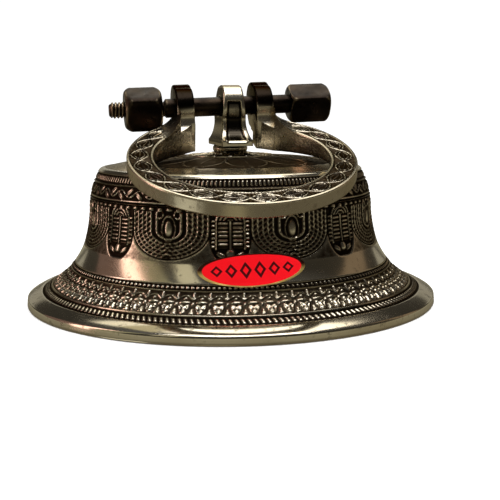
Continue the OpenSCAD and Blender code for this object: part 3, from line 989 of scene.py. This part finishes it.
def square_sections(xs, side, degrees, corner_r, softness=16, columns=144):
    """Sections along X of a square bar whose corners and ends are turned off at corner_r."""
    angle = circle(columns)
    local = angle - math.radians(degrees)
    square = side / 2 / np.maximum(np.abs(np.cos(local)), np.abs(np.sin(local)))
    sections = []
    for x, limit in zip(xs, corner_r):
        r = (square ** -softness + limit ** -softness) ** (-1 / softness)
        sections.append(across_x(x, r, angle))
    return sections


def bar_profile(x, side, corner_cut, chamfer):
    """Places along a bar and its turned radius there, with rounded chamfers at both ends."""
    top = side / math.sqrt(2) - corner_cut
    a = np.linspace(0, 1, 7)
    lead = np.column_stack([x[0] + chamfer * a**1.3, top - chamfer * (1 - a) ** 1.25])
    tail = np.column_stack([x[1] - chamfer * a[::-1]**1.3, top - chamfer * (1 - a[::-1]) ** 1.25])
    middle = np.column_stack([np.linspace(x[0] + chamfer, x[1] - chamfer, 24),
                              np.full(24, top)])[1:-1]
    return np.vstack([lead, middle, tail])


def round_sections(xs, radii, columns=144):
    """Sections along X of a round bar."""
    return [across_x(x, r, circle(columns)) for x, r in zip(xs, radii)]


def thread_sections(columns=144):
    """A real helical thread from the bolt's tip to its shank."""
    angle = circle(columns)
    made = []
    for x in np.arange(THREAD_X[0], THREAD_X[1], PITCH / 9):
        climb = np.abs(repeat(x / PITCH + angle / TAU, 1)) * 2
        r = THREAD_ROOT_R + (THREAD_R - THREAD_ROOT_R) * smooth(climb, 0.2, 0.75)
        r = np.minimum(r, THREAD_R - 1.1 + 1.1 * min(1, (x - THREAD_X[0] + 0.05) / 1.1))
        made.append(across_x(x, r, angle))
    return made


def pivot_bolt():
    shank_x = np.linspace(THREAD_X[1] + 0.5, HEAD_X[0], 60)
    head = bar_profile(HEAD_X, HEAD_SIDE, 0.4, 1.6)
    sections = (thread_sections() + round_sections(shank_x, np.full(60, SHANK_R))
                + square_sections(head[:, 0], HEAD_SIDE, HEAD_TURN, head[:, 1]))
    end = sections[-1]
    sections += [end.mean(0) + (end - end.mean(0)) * share for share in (0.9, 0.6, 0.3)]
    mesh = mesh_of("pivot_bolt", placed(stacked(np.array(sections)), on_bolt()))
    add_piece("square_headed_bolt", mesh, "bolt",
              [dark_bronze("bolt_bronze_finish")], ["pivot_bolt"], 55, worn(mesh, 1.0))


def square_nut():
    profile = bar_profile(NUT_X, NUT_SIDE, 1, 2.2)
    outer = square_sections(profile[:, 0], NUT_SIDE, NUT_TURN, profile[:, 1])
    faces = []
    for x, rim, sink in ((NUT_X[1], outer[-1], -0.5), (NUT_X[0], outer[0], 0.5)):
        hole = round_sections([x], [THREAD_R + 0.35])[0]
        ladder = [rim + (hole - rim) * s for s in (0.15, 0.4, 0.7, 1)]
        faces.append(ladder + round_sections([x + sink], [THREAD_R + 0.02]))
    sections = outer + faces[0] + faces[1][::-1]
    mesh = mesh_of("square_nut", placed(stacked(np.array(sections), close_rows=True), on_bolt()))
    add_piece("cross_bolt_nut", mesh, "bolt",
              [dark_bronze("nut_bronze_finish")], ["square_nut"], 55, worn(mesh, 1.0))


def crown_washer():
    low, high = CROWN_UNDER_Z - WASHER_T, CROWN_UNDER_Z
    section = rounded([[STUD_R + 0.2, low], [WASHER_R, low], [WASHER_R, high], [STUD_R + 0.2, high]],
                      [0.2, 0.45, 0.2, 0.2])
    mesh = mesh_of("crown_washer", turned(section, 128, close_rows=True))
    add_piece("stud_washer", mesh, "bell",
              [plain_steel("washer_finish", (0.5, 0.49, 0.47), 0.34)], ["crown_washer"])


def crown_nut():
    x = (STUD_NUT_Z, STUD_NUT_Z + STUD_NUT_T)
    profile = bar_profile(x, STUD_NUT_SIDE, 0.3, 1.1)
    outer = square_sections(profile[:, 0], STUD_NUT_SIDE, 0, profile[:, 1])
    sections = outer + round_sections((x[1], x[0]), [STUD_R + 0.02] * 2)
    mesh = mesh_of("crown_nut", placed(stacked(np.array(sections), close_rows=True), turn("Y", -90)))
    add_piece("stud_nut", mesh, "bell",
              [plain_steel("stud_nut_finish", (0.42, 0.41, 0.39), 0.4)], ["crown_nut"], sharp=35)


# ---------------- the clapper

def hung():
    return shift(0, 0, EYE_Z) @ turn("X", LEAN)


def uneven(points, amount, scale):
    """Points pushed about by a smooth, fixed wave, as on a casting finished by hand."""
    x, y, z = (points[:, k] / scale for k in range(3))
    wave = np.sin(x + 1.7 * np.sin(y)) * np.cos(1.3 * y + 0.8)
    wave += 0.6 * np.sin(2.1 * z + x) * np.cos(1.7 * x)
    return points * (1 + amount * wave / (np.linalg.norm(points, axis=1) + 1e-6))[:, None]


def clapper_link():
    around, angle = circle(36), circle(128)[:, None]
    weld = 0.16 * np.exp(-((angle - math.pi / 2) / 0.09) ** 2)
    wire = WIRE_R - 0.02 + weld
    r, side = LINK_R + wire * np.cos(around), wire * np.sin(around)
    points = np.stack([r * np.cos(angle), side, r * np.sin(angle)], -1)
    solid = placed(stacked(points, close_rows=True), hung() @ shift(0, 0, -LINK_R))
    mesh = mesh_of("clapper_link", solid)
    add_piece("clapper_hanging_link", mesh, "link",
              [cast_metal("link_finish")], ["clapper_link"], wear_and_shade=worn(mesh, 0.5))


def clapper_rod():
    top = -2 * LINK_R
    zs = np.linspace(-CLAPPER_L, top - EYE_R - 0.6, 90)
    r = ROD_R - 0.05 * (0.5 + 0.5 * np.sin(zs * 1.1)) - 0.08 * ridge(zs + 38, 3)
    rod = turned(np.column_stack([r, zs]), 48)
    mesh = combined("clapper_rod", rod, [
        ("UNION", eye_plate(top)), ("DIFFERENCE", along_x(EYE_R, ROD_R * 2 + 4, 0, top, 48))])
    move(mesh, hung())
    add_piece("clapper_cast_rod", mesh, "clapper",
              [cast_metal("rod_finish")], ["clapper_rod"], wear_and_shade=worn(mesh, 0.7))


def clapper_ball():
    angle = np.linspace(math.pi / 2, -math.pi / 2 + 0.21, 90)
    half = np.column_stack([BALL_R * np.cos(angle), BALL_R * np.sin(angle)])
    half = half[half[:, 0] > ROD_R + 0.1]
    collar = [[ROD_R + 0.02, BALL_R - 0.9], [ROD_R + 0.1, BALL_R + 0.02], [ROD_R + 0.5, BALL_R - 0.15]]
    tail = arc([TAIL_R, -BALL_R - 1.6], [0.05, -BALL_R - 1.6 - TAIL_R], 0.66, 10)
    outline = joined([[0.05, BALL_R - 0.9]], collar, half[1:], [[TAIL_R, -BALL_R - 0.1]], tail)
    outline = spaced(outline, 0.3)
    solid = turned(outline, 128)
    points = uneven(solid[0], -0.04, 2.6)
    seam = 0.1 * np.exp(-((points[:, 0] / 0.22) ** 2)) * (np.hypot(points[:, 1], points[:, 2]) > 4)
    points = points * (1 - 0.008 + seam[:, None] / BALL_R)
    solid = placed((points, solid[1]), hung() @ shift(0, 0, -CLAPPER_L))
    mesh = mesh_of("clapper_ball", solid)
    add_piece("clapper_striking_ball", mesh, "clapper",
              [cast_metal("ball_finish", (DULL_BRASS, PALE_BRASS), (0.3, 0.5))], ["clapper_ball"],
              wear_and_shade=worn(mesh, 0.8))


# ---------------- the label

def label():
    wall = outer_wall()
    angle = circle(192)
    shares = np.r_[np.linspace(0.02, 1, 42), 1.0, np.linspace(0.995, 0.02, 42)]
    lifts = np.r_[np.full(42, 0.03), LABEL_T * 0.7, np.full(42, LABEL_T)]
    slope = math.radians(LABEL_SLOPE)
    x = shares[:, None] * LABEL_W / 2 * np.cos(angle)
    z = shares[:, None] * LABEL_H / 2 * np.sin(angle)
    flat_x = x * math.cos(slope) - z * math.sin(slope)
    high = LABEL_Z + z * math.cos(slope) + x * math.sin(slope)
    over_line = 0.1 * ridge(high - LOW_LINE_Z, 0.4)
    r = np.interp(high, wall[:, 1], wall[:, 0]) + lifts[:, None] * 1.1 + over_line
    sections = np.stack([flat_x, -np.sqrt(r**2 - flat_x**2), high], -1)
    mesh = mesh_of("label", placed(stacked(sections), turn("Z", LABEL_TURN)))
    for name, values in (("label_x", x), ("label_z", z),
                         ("label_oval", np.broadcast_to(shares[:, None], x.shape))):
        add_attribute(mesh, name, np.r_[values.ravel(), [0, 0]])
    add_piece("oval_label", mesh, "bell", [label_print("label_print")],
              ["label_sticker"])


# ---------------- studio

def stage_plane(name, size, place, material, facing=None, glossy=True):
    x, y = size[0] / 2, size[1] / 2
    mesh = bpy.data.meshes.new(name)
    mesh.from_pydata([(-x, -y, 0), (x, -y, 0), (x, y, 0), (-x, y, 0)], [], [(0, 1, 2, 3)])
    mesh.materials.append(material)
    made = linked(name, mesh)
    made.location = place
    if facing is not None:
        made.rotation_euler = (facing - place).to_track_quat("Z", "Y").to_euler()
    made.visible_glossy = glossy
    return made


def glow(name, colour, strength):
    n = Nodes(name)
    light = n.feed(n.add("Emission"), Color=colour, Strength=strength)
    n.put(n.tree.nodes["Material Output"].inputs["Surface"], light.outputs[0])
    n.tree.nodes.remove(n.shader)
    return n.material


def from_angle(azimuth, elevation, distance, centre=STUDIO_CENTRE):
    """A place seen from centre. Azimuth 0 is the camera's side, and positive is to its right."""
    a, e = math.radians(azimuth + CAMERA_AZIMUTH), math.radians(elevation)
    way = Vector((math.sin(a) * math.cos(e), -math.cos(a) * math.cos(e), math.sin(e)))
    return centre + distance * way


def soft_box(name, azimuth, elevation, distance, size, power):
    lamp = bpy.data.lights.new(name, "AREA")
    lamp.shape, lamp.size, lamp.size_y, lamp.energy = "RECTANGLE", size[0], size[1], power
    made = linked(name, lamp)
    made.location = from_angle(azimuth, elevation, distance)
    made.rotation_euler = (STUDIO_CENTRE - made.location).to_track_quat("-Z", "Y").to_euler()
    made.visible_camera = False


def card(name, azimuth, elevation, distance, size, colour, strength):
    """A glowing card that only reflections see."""
    made = stage_plane(name, size, from_angle(azimuth, elevation, distance),
                       glow(name, colour, strength), STUDIO_CENTRE)
    made.visible_camera = made.visible_diffuse = made.visible_shadow = False


def world_light():
    """A dim room whose light changes with the height."""
    world = bpy.data.worlds.new("room")
    world.use_nodes = True
    nodes, link = world.node_tree.nodes, world.node_tree.links.new
    place, split, level, ramp = (nodes.new("ShaderNode" + kind) for kind in
                                 ("TexCoord", "SeparateXYZ", "Math", "ValToRGB"))
    level.operation = "MULTIPLY_ADD"
    level.inputs[1].default_value = level.inputs[2].default_value = 0.5
    link(place.outputs["Generated"], split.inputs[0])
    link(split.outputs["Z"], level.inputs[0])
    link(level.outputs[0], ramp.inputs[0])
    link(ramp.outputs[0], nodes["Background"].inputs["Color"])
    stops = ((0.0, (0.1, 0.09, 0.065)), (0.38, (0.15, 0.135, 0.095)), (0.47, (0.36, 0.34, 0.25)),
             (0.52, (0.05, 0.045, 0.036)), (0.8, (0.03, 0.028, 0.024)), (1.0, (0.12, 0.12, 0.12)))
    for i, (at, colour) in enumerate(stops):
        stop = ramp.color_ramp.elements[i] if i < 2 else ramp.color_ramp.elements.new(at)
        stop.position, stop.color = at, (*colour, 1)
    bpy.context.scene.world = world


def backdrop():
    """A white floor, and a white dome round everything that reflections don't see."""
    stage_plane("floor", (FLOOR_SIZE, FLOOR_SIZE), (0, 0, 0), floor_finish("floor_finish"),
                glossy=False)
    slope = np.linspace(-1.5, 1.5, 24)[:, None]
    r = BACKDROP_R / MM
    mesh = mesh_of("backdrop", stacked(swept(r * np.cos(slope), r * np.sin(slope), circle(64))))
    mesh.materials.append(glow("backdrop_glow", (1, 1, 1), 1.06))
    dome = linked("backdrop", mesh)
    dome.visible_glossy = dome.visible_shadow = False


def lights():
    """The room, one lamp overhead and the cards, each as azimuth, elevation, distance, size, colour
    and strength."""
    world_light()
    soft_box("overhead", 30, 82, 0.8, (0.6, 0.6), 3.4)
    card("back_olive", 180, 52, 1.0, (0.46, 0.66), (0.72, 0.68, 0.46), 0.34)
    card("back_gold", -153, 57, 0.9, (0.34, 0.3), (0.86, 0.78, 0.52), 0.6)
    card("back_high", 164, 66, 0.8, (0.6, 0.4), (1, 0.97, 0.88), 2.0)
    card("back_middle", 184, 29, 0.8, (0.3, 0.12), (1, 0.97, 0.9), 1.3)
    card("back_crown", 184, 21.5, 0.8, (0.34, 0.1), (1, 0.97, 0.9), 1.5)
    card("back_low", 180, 10, 0.8, (1.5, 0.2), (0.94, 0.9, 0.74), 0.35)
    card("back_left", -146, 47, 0.75, (0.2, 0.12), (1, 0.95, 0.8), 1.1)
    card("left_brown", -103, 18, 0.72, (0.3, 0.7), (0.5, 0.33, 0.28), 0.3)
    card("left_strip", -82, 18, 0.7, (0.17, 0.7), (1, 0.68, 0.62), 2.5)
    card("left_olive", -65, 25, 0.7, (0.2, 0.7), (0.62, 0.6, 0.4), 0.45)
    card("front_left", -37, 40, 0.8, (0.17, 0.4), (0.95, 0.9, 0.68), 0.6)
    card("low_left", -60, -34, 0.7, (0.3, 0.2), (0.95, 0.93, 0.76), 0.7)
    card("low_front", -8, -46, 0.7, (0.22, 0.2), (0.8, 0.72, 0.45), 0.4)
    card("right_brown", 108, 20, 0.8, (0.3, 0.6), (0.6, 0.46, 0.32), 0.35)


def camera():
    lens = bpy.data.cameras.new("camera")
    lens.lens, lens.sensor_width, lens.clip_start, lens.clip_end = CAMERA_LENS, CAMERA_SENSOR, 0.01, 20
    made = linked("camera", lens)
    made.location = from_angle(0, CAMERA_ELEVATION, CAMERA_DISTANCE, CAMERA_AIM)
    facing = (CAMERA_AIM - made.location).to_track_quat("-Z", "Y")
    made.rotation_mode = "QUATERNION"
    made.rotation_quaternion = facing @ turn("Z", -CAMERA_ROLL).to_quaternion()
    bpy.context.scene.camera = made
    bpy.context.scene.view_settings.view_transform = "Standard"


for build in (bell_shell, crown_lug, hanging_ring, pivot_bolt, square_nut, crown_washer, crown_nut,
              clapper_link, clapper_rod, clapper_ball, label, backdrop, lights, camera):
    build()
